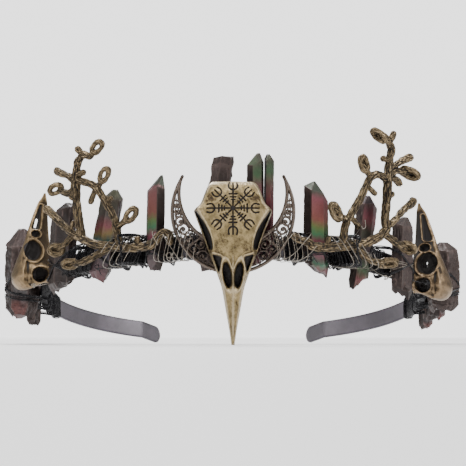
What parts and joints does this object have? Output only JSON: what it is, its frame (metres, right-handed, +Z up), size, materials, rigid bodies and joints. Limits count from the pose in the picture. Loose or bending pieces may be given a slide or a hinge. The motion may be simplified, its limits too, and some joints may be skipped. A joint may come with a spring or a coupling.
{
  "type": "crown",
  "caption": "Gothic crown: a steel band open at the back with cast raven skulls, a pierced crescent moon, twig branches and metallised quartz points bound on with wire.",
  "frame": {"origin": "middle of the crown's footprint, on the floor that it stands on", "axes": "+X to the right of a viewer facing the centre skull, -Y out through the centre skull, +Z up"},
  "size_m": [0.1606, 0.1514, 0.0681],
  "materials": {
    "gunmetal_steel": "satin, slightly mauve, darker edges",
    "antique_bronze": "cast, tan-gold with dark patina in the recesses",
    "dark_bronze": "cast, dark with coppery edges",
    "bark_bronze": "cast bark relief, antiqued",
    "plum_quartz": "satin metallic coating, plum brown with rainbow sheen",
    "black_wire": "glossy black enamel with fine gunmetal strands"
  },
  "bodies": {
    "root": {"headband": "gunmetal_steel", "raven_skull": "antique_bronze", "raven_skull_left": "antique_bronze", "raven_skull_right": "antique_bronze", "crescent_moon": "dark_bronze", "twig_left": "bark_bronze", "twig_right": "bark_bronze", "crystal_left_rear": "plum_quartz", "crystal_left_outer": "plum_quartz", "crystal_left_wide": "plum_quartz", "crystal_left_leaning": "plum_quartz", "crystal_left_tall": "plum_quartz", "crystal_back_left": "plum_quartz", "crystal_back_right": "plum_quartz", "crystal_back_slim": "plum_quartz", "crystal_right_tall": "plum_quartz", "crystal_right_leaning": "plum_quartz", "crystal_right_wide": "plum_quartz", "crystal_right_outer": "plum_quartz", "crystal_right_rear": "plum_quartz", "crystal_right_last": "plum_quartz", "wire_sleeve_left": "black_wire", "wire_sleeve_front": "black_wire", "wire_sleeve_right": "black_wire", "binding_wire_left_rear": "black_wire", "binding_wire_left_outer": "black_wire", "binding_wire_left_wide": "black_wire", "binding_wire_left_leaning": "black_wire", "binding_wire_left_tall": "black_wire", "binding_wire_left_twig": "black_wire", "binding_wire_right_tall": "black_wire", "binding_wire_right_twig": "black_wire", "binding_wire_right_leaning": "black_wire", "binding_wire_right_wide": "black_wire", "binding_wire_right_outer": "black_wire", "binding_wire_right_rear": "black_wire"}
  },
  "joints": []
}
